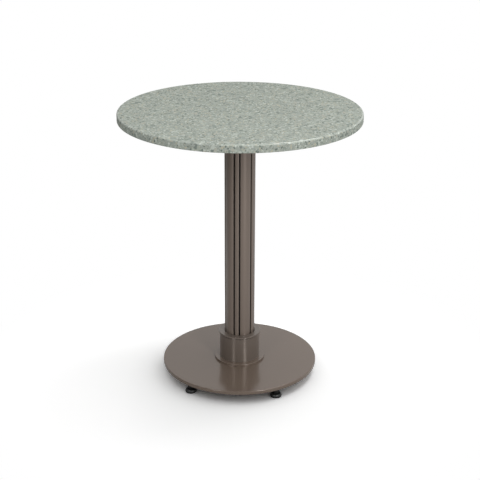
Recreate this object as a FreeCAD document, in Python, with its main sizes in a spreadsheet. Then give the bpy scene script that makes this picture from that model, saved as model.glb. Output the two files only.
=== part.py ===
import FreeCAD, Part
import math
import operator
import os
import Sketcher

# Round terrazzo table on a fluted column, a collar and a flat round base with five levelling glides.
# Millimetres, +Z up, origin on the floor under the middle of the column, photographed side towards -Y.

DRIVING_SIZES = (
    ("top_diameter", 600, "terrazzo slab, across"),
    ("top_thickness", 20, "terrazzo slab, thickness"),
    ("top_edge_radius", 5, "round on the slab's upper edge"),
    ("top_arris_radius", 1.5, "round on the slab's lower edge"),
    ("insert_circle", 250, "circle through the slab's threaded inserts, across"),
    ("insert_diameter", 10, "brass insert, outside"),
    ("insert_length", 12, "brass insert, length"),
    ("insert_glue_gap", 0.1, "glue round an insert, radial"),
    ("insert_drill_spare", 1, "depth of the drilled hole beyond its insert"),
    ("top_screw_diameter", 6, "screw between spider and insert"),
    ("top_screw_grip", 8, "length of that screw inside the insert"),
    ("top_screw_head_diameter", 12, "its button head, across"),
    ("top_screw_head_height", 3.6, "its button head, height"),
    ("top_screw_head_round", 1.6, "round on the button head"),
    ("top_screw_socket", 4, "hexagon socket in the head, across flats"),
    ("top_screw_socket_depth", 2, "hexagon socket in the head, depth"),
    ("top_washer_diameter", 14, "washer under the button head, across"),
    ("top_washer_thickness", 1.2, "washer under the button head, thickness"),
    ("top_screw_hole_gap", 0.4, "clearance round the screw in arm and washer, radial"),
    ("arm_count", 5, "arms, inserts and their screws"),
    ("arm_thickness", 8, "spider arm, thickness"),
    ("arm_end_radius", 15, "rounded end of a spider arm"),
    ("arm_root_width", 44, "spider arm at the boss, width"),
    ("arm_rib_width", 7, "stiffening rib under an arm, width"),
    ("arm_rib_root_depth", 11, "stiffening rib at the boss, depth"),
    ("arm_rib_end_gap", 12, "from the rib's thin end to the screw's axis"),
    ("boss_overhang", 4.3, "spider boss beyond the reed crests, radial"),
    ("boss_height", 22, "spider boss, height"),
    ("boss_edge_radius", 3, "round on the boss's lower edge"),
    ("boss_recess_diameter", 32, "recess for the upper nut, across"),
    ("boss_recess_depth", 18, "recess for the upper nut, depth"),
    ("plug_length", 28, "how far each plug reaches into the column"),
    ("plug_gap", 0.1, "clearance of a plug in the column's bore, radial"),
    ("plug_lead", 1.5, "chamfer on a plug's end"),
    ("column_radius", 38.7, "crests of the column's reeds, radius"),
    ("column_length", 618, "column, length"),
    ("groove_depth", 11, "from the reed crests down to the bottom of a groove"),
    ("column_wall", 3.7, "from the bottom of a groove to the column's bore"),
    ("groove_width", 3.6, "grooves between reeds, width"),
    ("groove_edge_radius", 0.8, "round where a reed meets a groove"),
    ("reed_pairs", 5, "pairs of one wide and one narrow reed"),
    ("wide_reed_angle", 50.3, "wide reed between its groove lines, degrees"),
    ("wide_reed_crown", 25, "wide reed's own curvature, radius"),
    ("narrow_reed_crown", 9, "narrow reed's own curvature, radius"),
    ("reed_phase", 294.3, "direction of the first wide reed, degrees from +X"),
    ("rod_diameter", 12, "tie rod, across"),
    ("rod_hole_gap", 0.5, "clearance round the tie rod, radial"),
    ("rod_end_spare", 2.5, "tie rod beyond each nut"),
    ("rod_end_chamfer", 1.2, "chamfer on the rod's ends"),
    ("nut_across_flats", 18, "tie rod nut, across flats"),
    ("nut_height", 10, "tie rod nut, height"),
    ("nut_thread_gap", 0.05, "clearance of nut on rod, radial"),
    ("rod_washer_diameter", 24, "tie rod washer, across"),
    ("rod_washer_thickness", 2.5, "tie rod washer, thickness"),
    ("cap_overhang", 2.9, "collar cap beyond the tube, radial"),
    ("cap_thickness", 4, "collar cap, thickness"),
    ("cap_edge_radius", 0.8, "round on the cap's edges"),
    ("cap_column_gap", 0.5, "clearance between cap and reed crests, radial"),
    ("cap_skirt_depth", 8, "cap's skirt inside the tube, depth"),
    ("cap_skirt_wall", 3, "cap's skirt, wall"),
    ("cap_skirt_gap", 0.1, "clearance between skirt and tube, radial"),
    ("collar_gap", 9.9, "from the reed crests to the inside of the collar tube, radial"),
    ("collar_wall", 3, "collar tube, wall"),
    ("collar_height", 67, "collar tube, height"),
    ("flange_overhang", 13.4, "collar flange beyond the tube, radial"),
    ("flange_thickness", 5, "collar flange, thickness"),
    ("flange_edge_radius", 0.8, "round on the flange's upper edge"),
    ("flange_bore_gap", 0.15, "clearance between flange and spigot disc, radial"),
    ("spigot_disc_gap", 2, "clearance between spigot disc and collar tube, radial"),
    ("spigot_disc_thickness", 6, "disc of the column spigot, thickness"),
    ("flange_screw_edge_gap", 8, "from the flange's edge to a flange screw's axis"),
    ("flange_screw_diameter", 5, "flange screw"),
    ("flange_screw_head_diameter", 10, "countersunk head, across"),
    ("flange_screw_bite", 3.6, "flange screw inside the flange, length"),
    ("flange_screw_socket", 3, "hexagon socket, across flats"),
    ("flange_screw_socket_depth", 1.6, "hexagon socket, depth"),
    ("flange_screw_gap", 0.25, "clearance round the flange screw, radial"),
    ("flange_screw_end_gap", 0.4, "from the screw's end to the bottom of its hole"),
    ("flange_screw_count", 5, "flange screws"),
    ("flange_screw_phase", 48, "direction of the first flange screw, degrees from +X"),
    ("plate_diameter", 400, "base plate, across"),
    ("plate_thickness", 10, "base plate, thickness"),
    ("plate_edge_chamfer", 1, "chamfer on the plate's edges"),
    ("glide_count", 5, "levelling glides"),
    ("glide_edge_gap", 16, "from the plate's edge to a glide's axis"),
    ("glide_phase", 12, "direction of the first glide, degrees from +X"),
    ("bush_diameter", 17, "threaded bush under the plate, across"),
    ("bush_height", 10, "threaded bush, height"),
    ("bush_chamfer", 1, "chamfer on the bush's lower edge"),
    ("stud_diameter", 8, "glide stud, across"),
    ("stud_gap", 0.05, "clearance of stud in bush and plate, radial"),
    ("stud_plate_depth", 5.5, "stud inside the plate with the glide screwed in"),
    ("stud_end_gap", 0.5, "from the stud's end to the bottom of its hole"),
    ("stud_chamfer", 1, "chamfer on the stud's end"),
    ("glide_hex_across_flats", 13, "hexagon above a pad, across flats"),
    ("glide_hex_height", 4, "hexagon above a pad, height"),
    ("pad_diameter", 29, "glide pad, across"),
    ("pad_height", 10, "glide pad, height"),
    ("pad_shoulder_radius", 6, "round on the pad's shoulder"),
    ("pad_sole_radius", 1.5, "round on the pad's sole"),
    ("neck_diameter", 8.6, "stud's neck inside the pad's mouth"),
    ("neck_height", 2.4, "stud's neck, height"),
    ("bead_diameter", 11, "stud's snap bead inside the pad, across"),
    ("bead_height", 3.6, "stud's snap bead, height"),
    ("socket_gap", 0.08, "clearance of neck and bead in the pad, radial"),
    ("socket_end_gap", 0.4, "clearance of the bead along the pad's axis"),
    ("hexagon_chamfer_share", 0.577, "rise of a hexagon's corner chamfer over its run"),
)

doc = FreeCAD.newDocument("terrazzo_table")
sheet = doc.addObject("Spreadsheet::Sheet", "Sizes")


class Size:
    """A size in the sheet, or a sum or product of sizes: its expression and its present value."""

    def __init__(self, text, value):
        self.text = text
        self.value = value

    def __add__(self, other):
        return joined(self, "+", other)

    def __sub__(self, other):
        return joined(self, "-", other)

    def __mul__(self, other):
        return joined(self, "*", other)

    def __truediv__(self, other):
        return joined(self, "/", other)


SIGNS = {"+": operator.add, "-": operator.sub, "*": operator.mul, "/": operator.truediv}
ZERO = Size("0", 0.0)


def as_size(thing):
    return thing if isinstance(thing, Size) else Size(str(thing), float(thing))


def joined(left, sign, right):
    left, right = as_size(left), as_size(right)
    return Size(f"({left.text} {sign} {right.text})", SIGNS[sign](left.value, right.value))


def cosine(angle):
    return Size(f"cos({angle.text})", math.cos(math.radians(angle.value)))


def sine(angle):
    return Size(f"sin({angle.text})", math.sin(math.radians(angle.value)))


class Sizes:
    """The sheet's named cells, each as a Size."""


for row, (alias, number, note) in enumerate(DRIVING_SIZES, 1):
    sheet.set(f"A{row}", note)
    sheet.set(f"B{row}", str(number))
    sheet.setAlias(f"B{row}", alias)
    setattr(Sizes, alias, Size(f"Sizes.{alias}", float(number)))
doc.recompute()

# Levels above the floor, from the glides' soles up

pad_top = Sizes.pad_height
bush_underside = pad_top + Sizes.glide_hex_height
plate_underside = bush_underside + Sizes.bush_height
plate_top = plate_underside + Sizes.plate_thickness
flange_top = plate_top + Sizes.flange_thickness
collar_top = flange_top + Sizes.collar_height
column_foot = plate_top + Sizes.spigot_disc_thickness
column_head = column_foot + Sizes.column_length
top_underside = column_head + Sizes.boss_height
recess_floor = top_underside - Sizes.boss_recess_depth
arm_underside = top_underside - Sizes.arm_thickness
rod_foot = plate_underside - Sizes.rod_washer_thickness - Sizes.nut_height - Sizes.rod_end_spare
rod_head = recess_floor + Sizes.rod_washer_thickness + Sizes.nut_height + Sizes.rod_end_spare

# Radii that follow from the column's reed crests outwards and inwards, and from the plate's edge

groove_floor_radius = Sizes.column_radius - Sizes.groove_depth
bore_radius = groove_floor_radius - Sizes.column_wall
plug_radius = bore_radius - Sizes.plug_gap
boss_radius = Sizes.column_radius + Sizes.boss_overhang
collar_bore_radius = Sizes.column_radius + Sizes.collar_gap
collar_radius = collar_bore_radius + Sizes.collar_wall
cap_radius = collar_radius + Sizes.cap_overhang
flange_radius = collar_radius + Sizes.flange_overhang
flange_screw_reach = flange_radius - Sizes.flange_screw_edge_gap
spigot_disc_radius = collar_bore_radius - Sizes.spigot_disc_gap
glide_reach = Sizes.plate_diameter / 2 - Sizes.glide_edge_gap

full_turn = Size("360", 360.0)
rod_hole_radius = Sizes.rod_diameter / 2 + Sizes.rod_hole_gap


# Bodies, sketches and features

def new_body(label, level=ZERO, turn=None, x=None, y=None):
    """An empty body at a level, turned about Z, and moved aside if x and y are given."""
    body = doc.addObject("PartDesign::Body", label)
    body.Label = label
    body.setExpression("Placement.Base.z", level.text)
    if x:
        body.setExpression("Placement.Base.x", x.text)
        body.setExpression("Placement.Base.y", y.text)
    if turn:
        body.Placement.Rotation = FreeCAD.Rotation(FreeCAD.Vector(0, 0, 1), turn.value)
        body.setExpression("Placement.Rotation.Angle", turn.text)
    return body


def origin_feature(body, role):
    return next(item for item in body.Origin.OriginFeatures if item.Role == role)


def new_sketch(body, name, plane, lift=None, turn=None):
    """A sketch on one of the body's own origin planes, lifted off it or turned in it."""
    sketch = body.newObject("Sketcher::SketchObject", name)
    sketch.AttachmentSupport = [(origin_feature(body, plane), "")]
    sketch.MapMode = "FlatFace"
    if lift:
        sketch.setExpression("AttachmentOffset.Base.z", lift.text)
    if turn:
        sketch.AttachmentOffset = FreeCAD.Placement(
            FreeCAD.Vector(0, 0, 0), FreeCAD.Rotation(FreeCAD.Vector(0, 0, 1), turn.value))
        sketch.setExpression("AttachmentOffset.Rotation.Angle", turn.text)
    return sketch


def constrain(sketch, kind, *where, size=None):
    """Adds one constraint. A size is bound to the sheet."""
    if size is None:
        return sketch.addConstraint(Sketcher.Constraint(kind, *where))
    value = math.radians(size.value) if kind == "Angle" else size.value
    number = sketch.addConstraint(Sketcher.Constraint(kind, *where, value))
    sketch.setExpression(f"Constraints[{number}]", size.text)
    return number


def place_point(sketch, curve, end, x, y):
    """Ties a point to the sketch's origin: sizes along both axes, or an axis where one is zero."""
    for kind, axis, size in (("DistanceX", -2, x), ("DistanceY", -1, y)):
        if size is ZERO:
            constrain(sketch, "PointOnObject", curve, end, axis)
        else:
            constrain(sketch, kind, -1, 1, curve, end, size=size)


def outline(sketch, points):
    """A closed outline of straight lines through points (x, y), each a Size or ZERO."""
    first = len(sketch.Geometry)
    count = len(points)
    for place, (x, y) in enumerate(points):
        next_x, next_y = points[(place + 1) % count]
        start = FreeCAD.Vector(x.value, y.value, 0)
        end = FreeCAD.Vector(next_x.value, next_y.value, 0)
        sketch.addGeometry(Part.LineSegment(start, end), False)
    for place in range(count):
        constrain(sketch, "Coincident", first + place, 2, first + (place + 1) % count, 1)
    for place, (x, y) in enumerate(points):
        place_point(sketch, first + place, 1, x, y)


def circle(sketch, radius, x=ZERO, y=ZERO):
    middle = FreeCAD.Vector(x.value, y.value, 0)
    curve = sketch.addGeometry(Part.Circle(middle, FreeCAD.Vector(0, 0, 1), radius.value), False)
    constrain(sketch, "Radius", curve, size=radius)
    place_point(sketch, curve, 3, x, y)


def hexagon(sketch, across_flats, x=ZERO):
    """A hexagon with two corners on the X axis."""
    half = across_flats / 2
    reach = half / cosine(Size("30", 30.0))
    corners = []
    for corner in range(6):
        angle = math.radians(60 * corner)
        across, along = reach.value * math.cos(angle), reach.value * math.sin(angle)
        corners.append(FreeCAD.Vector(x.value + across, along, 0))
    first = len(sketch.Geometry)
    for corner in range(6):
        sketch.addGeometry(Part.LineSegment(corners[corner], corners[(corner + 1) % 6]), False)
    ring = sketch.addGeometry(
        Part.Circle(FreeCAD.Vector(x.value, 0, 0), FreeCAD.Vector(0, 0, 1), reach.value), True)
    for corner in range(6):
        constrain(sketch, "Coincident", first + corner, 2, first + (corner + 1) % 6, 1)
        constrain(sketch, "PointOnObject", first + corner, 1, ring)
    for corner in range(1, 6):
        constrain(sketch, "Equal", first, first + corner)
    constrain(sketch, "Radius", ring, size=reach)
    place_point(sketch, ring, 3, x, ZERO)
    constrain(sketch, "PointOnObject", first, 1, -1)


def pad(body, sketch, name, length):
    feature = body.newObject("PartDesign::Pad", name)
    feature.Profile = sketch
    feature.setExpression("Length", length.text)
    doc.recompute()
    return feature


def pocket(body, sketch, name, depth):
    """Cuts upwards from the sketch plane, and makes sure that it cuts."""
    before = body.Tip.Shape.Volume
    feature = body.newObject("PartDesign::Pocket", name)
    feature.Profile = sketch
    feature.Reversed = True
    feature.setExpression("Length", depth.text)
    doc.recompute()
    if not feature.Shape.Volume < before:
        raise RuntimeError(f"{name} cuts nothing")
    return feature


def revolve(body, name, points, about=None, cut=False):
    """Turns an outline in the XZ plane about Z, or about an upright line at the distance about."""
    before = body.Tip.Shape.Volume if cut else 0
    sketch = new_sketch(body, name + "_outline", "XZ_Plane")
    axis = "V_Axis"
    if about:
        bottom = FreeCAD.Vector(about.value, 0, 0)
        top = FreeCAD.Vector(about.value, about.value, 0)
        centre_line = sketch.addGeometry(Part.LineSegment(bottom, top), True)
        place_point(sketch, centre_line, 1, about, ZERO)
        constrain(sketch, "Vertical", centre_line)
        constrain(sketch, "DistanceY", centre_line, 1, centre_line, 2, size=about)
        axis = "Axis0"
    outline(sketch, points)
    feature = body.newObject("PartDesign::Groove" if cut else "PartDesign::Revolution", name)
    feature.Profile = sketch
    feature.ReferenceAxis = (sketch, [axis])
    feature.setExpression("Angle", full_turn.text)
    doc.recompute()
    if cut and not feature.Shape.Volume < before:
        raise RuntimeError(f"{name} cuts nothing")
    return feature


def ring_of(body, name, features, count):
    """Repeats features round Z and makes the result the body's shape."""
    pattern = body.newObject("PartDesign::PolarPattern", name)
    pattern.Originals = features
    pattern.Axis = (origin_feature(body, "Z_Axis"), [""])
    pattern.setExpression("Angle", full_turn.text)
    pattern.setExpression("Occurrences", count.text)
    body.Tip = pattern
    doc.recompute()
    return pattern


def edges(feature, wanted):
    return [f"Edge{number}" for number, edge in enumerate(feature.Shape.Edges, 1) if wanted(edge)]


def soften(body, name, kind, size, wanted):
    """A fillet or chamfer on the edges of the body's latest feature that the test accepts."""
    base = body.Tip
    feature = body.newObject(f"PartDesign::{kind}", name)
    names = edges(base, wanted)
    if not names:
        raise RuntimeError(f"{name} finds no edge")
    feature.Base = (base, names)
    feature.setExpression("Radius" if kind == "Fillet" else "Size", size.text)
    doc.recompute()
    return feature


def rim(radius, level):
    """A test for a round edge about the body's own axis, at a level of the body."""
    def wanted(edge):
        curve = edge.Curve
        if not isinstance(curve, Part.Circle):
            return False
        on_axis = math.hypot(curve.Center.x, curve.Center.y) < curve.Radius * 1e-6
        return on_axis and math.isclose(curve.Radius, radius.value) and close(curve.Center.z, level.value)
    return wanted


def close(one, other):
    return math.isclose(one, other, rel_tol=1e-6, abs_tol=1e-6)


def tube_points(inner, outer, bottom, top):
    return [(inner, bottom), (outer, bottom), (outer, top), (inner, top)]


def hexagon_corner_cut(body, name, across_flats, level, upper):
    """Turns the corner chamfer of a hexagon at a level: down from an upper face, up from a lower one."""
    flat = across_flats / 2
    corner = flat / cosine(Size("30", 30.0))
    outside = corner + (corner - flat)
    drop = (outside - flat) * Sizes.hexagon_chamfer_share
    edge_level = level - drop if upper else level + drop
    return revolve(body, name, [(flat, level), (outside, level), (outside, edge_level)], cut=True)


# Terrazzo slab, its inserts and what screws it to the spider

def make_top():
    body = new_body("terrazzo_top", top_underside, Sizes.reed_phase)
    radius = Sizes.top_diameter / 2
    thickness = Sizes.top_thickness
    revolve(body, "slab", tube_points(ZERO, radius, ZERO, thickness))
    soften(body, "slab_upper_edge", "Fillet", Sizes.top_edge_radius, rim(radius, thickness))
    soften(body, "slab_lower_edge", "Fillet", Sizes.top_arris_radius, rim(radius, ZERO))
    drill = new_sketch(body, "insert_drilling", "XY_Plane")
    circle(drill, Sizes.insert_diameter / 2 + Sizes.insert_glue_gap, Sizes.insert_circle / 2)
    hole = pocket(body, drill, "insert_hole", Sizes.insert_length + Sizes.insert_drill_spare)
    ring_of(body, "insert_holes", [hole], Sizes.arm_count)
    return body


def make_inserts():
    body = new_body("top_inserts", top_underside, Sizes.reed_phase)
    middle = Sizes.insert_circle / 2
    inner = middle + Sizes.top_screw_diameter / 2 + Sizes.nut_thread_gap
    outer = middle + Sizes.insert_diameter / 2
    sleeve = revolve(body, "sleeve", tube_points(inner, outer, ZERO, Sizes.insert_length), about=middle)
    ring_of(body, "sleeves", [sleeve], Sizes.arm_count)
    return body


def make_top_screws():
    grip = Sizes.arm_thickness + Sizes.top_washer_thickness
    head_level = arm_underside - Sizes.top_washer_thickness - Sizes.top_screw_head_height
    body = new_body("top_screws", head_level, Sizes.reed_phase)
    middle = Sizes.insert_circle / 2
    head = middle + Sizes.top_screw_head_diameter / 2
    face = head - Sizes.top_screw_head_round
    seat = Sizes.top_screw_head_height
    shank = middle + Sizes.top_screw_diameter / 2
    tip = seat + grip + Sizes.top_screw_grip
    screw = revolve(body, "screw", [
        (middle, ZERO), (face, ZERO), (head, Sizes.top_screw_head_round), (head, seat),
        (shank, seat), (shank, tip), (middle, tip)], about=middle)
    socket = new_sketch(body, "socket_outline", "XY_Plane")
    hexagon(socket, Sizes.top_screw_socket, middle)
    hollow = pocket(body, socket, "socket", Sizes.top_screw_socket_depth)
    ring_of(body, "screws", [screw, hollow], Sizes.arm_count)
    return body


def make_top_washers():
    body = new_body("top_screw_washers", arm_underside - Sizes.top_washer_thickness, Sizes.reed_phase)
    middle = Sizes.insert_circle / 2
    inner = middle + Sizes.top_screw_diameter / 2 + Sizes.top_screw_hole_gap
    outer = middle + Sizes.top_washer_diameter / 2
    thickness = Sizes.top_washer_thickness
    washer = revolve(body, "washer", tube_points(inner, outer, ZERO, thickness), about=middle)
    ring_of(body, "washers", [washer], Sizes.arm_count)
    return body


def make_spider():
    """Boss on the column's head, plug in its bore, five tapering arms with ribs under them."""
    body = new_body("top_spider", column_head - Sizes.plug_length, Sizes.reed_phase)
    seat = Sizes.plug_length
    face = seat + Sizes.boss_height
    floor = face - Sizes.boss_recess_depth
    boss = boss_radius
    recess = Sizes.boss_recess_diameter / 2
    revolve(body, "boss", [
        (rod_hole_radius, ZERO), (plug_radius, ZERO), (plug_radius, seat), (boss, seat), (boss, face),
        (recess, face), (recess, floor), (rod_hole_radius, floor)])
    soften(body, "plug_lead_in", "Chamfer", Sizes.plug_lead, rim(plug_radius, ZERO))
    soften(body, "boss_lower_edge", "Fillet", Sizes.boss_edge_radius, rim(boss, seat))
    reach = Sizes.insert_circle / 2
    inside = (recess + boss) / 2
    arm_sketch = new_sketch(body, "arm_outline", "XY_Plane", lift=face - Sizes.arm_thickness)
    arm_outline(arm_sketch, inside, reach, Sizes.arm_root_width / 2, Sizes.arm_end_radius)
    arm = pad(body, arm_sketch, "arm", Sizes.arm_thickness)
    rib_sketch = new_sketch(body, "rib_outline", "XZ_Plane")
    under = face - Sizes.arm_thickness
    outline(rib_sketch, [
        (inside, under - Sizes.arm_rib_root_depth), (boss, under - Sizes.arm_rib_root_depth),
        (reach - Sizes.arm_rib_end_gap, under), (inside, under)])
    rib = body.newObject("PartDesign::Pad", "rib")
    rib.Profile = rib_sketch
    rib.Midplane = True
    rib.setExpression("Length", Sizes.arm_rib_width.text)
    doc.recompute()
    ring_of(body, "arms", [arm, rib], Sizes.arm_count)
    hole_sketch = new_sketch(body, "screw_hole_outline", "XY_Plane", lift=face - Sizes.arm_thickness)
    circle(hole_sketch, Sizes.top_screw_diameter / 2 + Sizes.top_screw_hole_gap, reach)
    hole = pocket(body, hole_sketch, "screw_hole", Sizes.arm_thickness)
    ring_of(body, "screw_holes", [hole], Sizes.arm_count)
    return body


def arm_outline(sketch, root, reach, root_half_width, end_radius):
    """A tapering arm along X: a straight root, two straight sides and a round end."""
    up = math.pi / 2
    middle = FreeCAD.Vector(reach.value, 0, 0)
    z_axis = FreeCAD.Vector(0, 0, 1)
    low_root = FreeCAD.Vector(root.value, -root_half_width.value, 0)
    high_root = FreeCAD.Vector(root.value, root_half_width.value, 0)
    low_end = FreeCAD.Vector(reach.value, -end_radius.value, 0)
    high_end = FreeCAD.Vector(reach.value, end_radius.value, 0)
    sketch.addGeometry(Part.LineSegment(high_root, low_root), False)
    sketch.addGeometry(Part.LineSegment(low_root, low_end), False)
    sketch.addGeometry(Part.ArcOfCircle(Part.Circle(middle, z_axis, end_radius.value), -up, up), False)
    sketch.addGeometry(Part.LineSegment(high_end, high_root), False)
    constrain(sketch, "Coincident", 0, 2, 1, 1)
    constrain(sketch, "Tangent", 1, 2, 2, 1)
    constrain(sketch, "Tangent", 2, 2, 3, 1)
    constrain(sketch, "Coincident", 3, 2, 0, 1)
    constrain(sketch, "Radius", 2, size=end_radius)
    place_point(sketch, 2, 3, reach, ZERO)
    constrain(sketch, "DistanceX", -1, 1, 0, 1, size=root)
    constrain(sketch, "DistanceY", -1, 1, 0, 1, size=root_half_width)
    constrain(sketch, "Symmetric", 0, 1, 0, 2, -1)


# Column

def reed_outline(sketch, half_angle, crown):
    """One reed along X: a crowned front, two sides along its grooves and a back inside the core."""
    half_groove = Sizes.groove_width / 2
    back = (bore_radius + groove_floor_radius) / 2
    centre = Sizes.column_radius - crown
    slope = math.radians(half_angle.value)
    # The side runs along the groove line at the distance half_groove, so its places along that line follow
    line_to_centre = centre.value * math.sin(slope) - half_groove.value
    front_reach = centre.value * math.cos(slope) + math.sqrt(crown.value ** 2 - line_to_centre ** 2)
    back_reach = math.sqrt(back.value ** 2 - half_groove.value ** 2)

    def side_point(reach, side):
        x = reach * math.cos(slope) + half_groove.value * math.sin(slope)
        y = reach * math.sin(slope) - half_groove.value * math.cos(slope)
        return FreeCAD.Vector(x, side * y, 0)

    z_axis = FreeCAD.Vector(0, 0, 1)
    front_circle = Part.Circle(FreeCAD.Vector(centre.value, 0, 0), z_axis, crown.value)
    back_circle = Part.Circle(FreeCAD.Vector(0, 0, 0), z_axis, back.value)
    high_front, low_front = side_point(front_reach, 1), side_point(front_reach, -1)
    high_back, low_back = side_point(back_reach, 1), side_point(back_reach, -1)
    front_angle = math.atan2(high_front.y, high_front.x - centre.value)
    back_angle = math.atan2(high_back.y, high_back.x)
    sketch.addGeometry(Part.ArcOfCircle(front_circle, -front_angle, front_angle), False)
    sketch.addGeometry(Part.LineSegment(high_back, high_front), False)
    sketch.addGeometry(Part.ArcOfCircle(back_circle, -back_angle, back_angle), False)
    sketch.addGeometry(Part.LineSegment(low_back, low_front), False)
    constrain(sketch, "Coincident", 0, 2, 1, 2)
    constrain(sketch, "Coincident", 1, 1, 2, 2)
    constrain(sketch, "Coincident", 2, 1, 3, 1)
    constrain(sketch, "Coincident", 3, 2, 0, 1)
    constrain(sketch, "Radius", 0, size=crown)
    place_point(sketch, 0, 3, centre, ZERO)
    constrain(sketch, "Radius", 2, size=back)
    constrain(sketch, "Coincident", 2, 3, -1, 1)
    constrain(sketch, "Angle", 1, size=half_angle)
    constrain(sketch, "Angle", 3, size=ZERO - half_angle)
    constrain(sketch, "Distance", -1, 1, 1, size=half_groove)
    constrain(sketch, "Distance", -1, 1, 3, size=half_groove)


def make_column():
    body = new_body("fluted_column", column_foot, Sizes.reed_phase)
    core = new_sketch(body, "core_outline", "XY_Plane")
    circle(core, groove_floor_radius)
    circle(core, bore_radius)
    pad(body, core, "core", Sizes.column_length)
    pair_angle = full_turn / Sizes.reed_pairs
    wide_half = Sizes.wide_reed_angle / 2
    narrow_half = pair_angle / 2 - wide_half
    wide = new_sketch(body, "wide_reed_outline", "XY_Plane")
    reed_outline(wide, wide_half, Sizes.wide_reed_crown)
    wide_reed = pad(body, wide, "wide_reed", Sizes.column_length)
    narrow = new_sketch(body, "narrow_reed_outline", "XY_Plane", turn=pair_angle / 2)
    reed_outline(narrow, narrow_half, Sizes.narrow_reed_crown)
    narrow_reed = pad(body, narrow, "narrow_reed", Sizes.column_length)
    ring_of(body, "reeds", [wide_reed, narrow_reed], Sizes.reed_pairs)

    def reed_edge(edge):
        upright = isinstance(edge.Curve, Part.Line) and close(abs(edge.tangentAt(edge.FirstParameter).z), 1)
        place = edge.Vertexes[0].Point
        return upright and math.hypot(place.x, place.y) > groove_floor_radius.value * (1 + 1e-4)

    soften(body, "reed_edges", "Fillet", Sizes.groove_edge_radius, reed_edge)
    return body


# Tie rod, its nuts and washers

def make_rod():
    body = new_body("tie_rod", rod_foot)
    radius = Sizes.rod_diameter / 2
    length = rod_head - rod_foot
    chamfer = Sizes.rod_end_chamfer
    revolve(body, "rod", [
        (ZERO, ZERO), (radius - chamfer, ZERO), (radius, chamfer), (radius, length - chamfer),
        (radius - chamfer, length), (ZERO, length)])
    return body


def make_rod_washer(label, level):
    body = new_body(label, level)
    revolve(body, "washer", tube_points(
        rod_hole_radius, Sizes.rod_washer_diameter / 2, ZERO, Sizes.rod_washer_thickness))
    return body


def make_nut(label, level):
    body = new_body(label, level)
    sketch = new_sketch(body, "nut_outline", "XY_Plane")
    hexagon(sketch, Sizes.nut_across_flats)
    circle(sketch, Sizes.rod_diameter / 2 + Sizes.nut_thread_gap)
    pad(body, sketch, "nut", Sizes.nut_height)
    hexagon_corner_cut(body, "upper_corners", Sizes.nut_across_flats, Sizes.nut_height, upper=True)
    hexagon_corner_cut(body, "lower_corners", Sizes.nut_across_flats, ZERO, upper=False)
    return body


# Collar round the column's foot

def make_cap():
    body = new_body("collar_cap", collar_top - Sizes.cap_skirt_depth)
    hole = Sizes.column_radius + Sizes.cap_column_gap
    skirt_outside = collar_bore_radius - Sizes.cap_skirt_gap
    skirt_inside = skirt_outside - Sizes.cap_skirt_wall
    seat = Sizes.cap_skirt_depth
    face = seat + Sizes.cap_thickness
    revolve(body, "cap", [
        (skirt_inside, ZERO), (skirt_outside, ZERO), (skirt_outside, seat), (cap_radius, seat),
        (cap_radius, face), (hole, face), (hole, seat), (skirt_inside, seat)])
    soften(body, "cap_upper_edge", "Fillet", Sizes.cap_edge_radius, rim(cap_radius, face))
    soften(body, "cap_lower_edge", "Fillet", Sizes.cap_edge_radius, rim(cap_radius, seat))
    return body


def make_tube():
    body = new_body("collar_tube", flange_top)
    revolve(body, "tube", tube_points(collar_bore_radius, collar_radius, ZERO, Sizes.collar_height))
    return body


def make_flange():
    body = new_body("collar_flange", plate_top, Sizes.flange_screw_phase)
    bore = spigot_disc_radius + Sizes.flange_bore_gap
    thickness = Sizes.flange_thickness
    revolve(body, "flange", tube_points(bore, flange_radius, ZERO, thickness))
    soften(body, "flange_upper_edge", "Fillet", Sizes.flange_edge_radius, rim(flange_radius, thickness))
    sketch = new_sketch(body, "screw_hole_outline", "XY_Plane")
    circle(sketch, Sizes.flange_screw_diameter / 2 + Sizes.nut_thread_gap, flange_screw_reach)
    hole = pocket(body, sketch, "screw_hole", Sizes.flange_screw_bite + Sizes.flange_screw_end_gap)
    ring_of(body, "screw_holes", [hole], Sizes.flange_screw_count)
    return body


def make_spigot():
    body = new_body("column_spigot", plate_top)
    disc = spigot_disc_radius
    seat = Sizes.spigot_disc_thickness
    head = seat + Sizes.plug_length
    revolve(body, "spigot", [
        (rod_hole_radius, ZERO), (disc, ZERO), (disc, seat), (plug_radius, seat), (plug_radius, head),
        (rod_hole_radius, head)])
    soften(body, "spigot_lead_in", "Chamfer", Sizes.plug_lead, rim(plug_radius, head))
    return body


# Base plate and the screws that hold the flange

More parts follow.
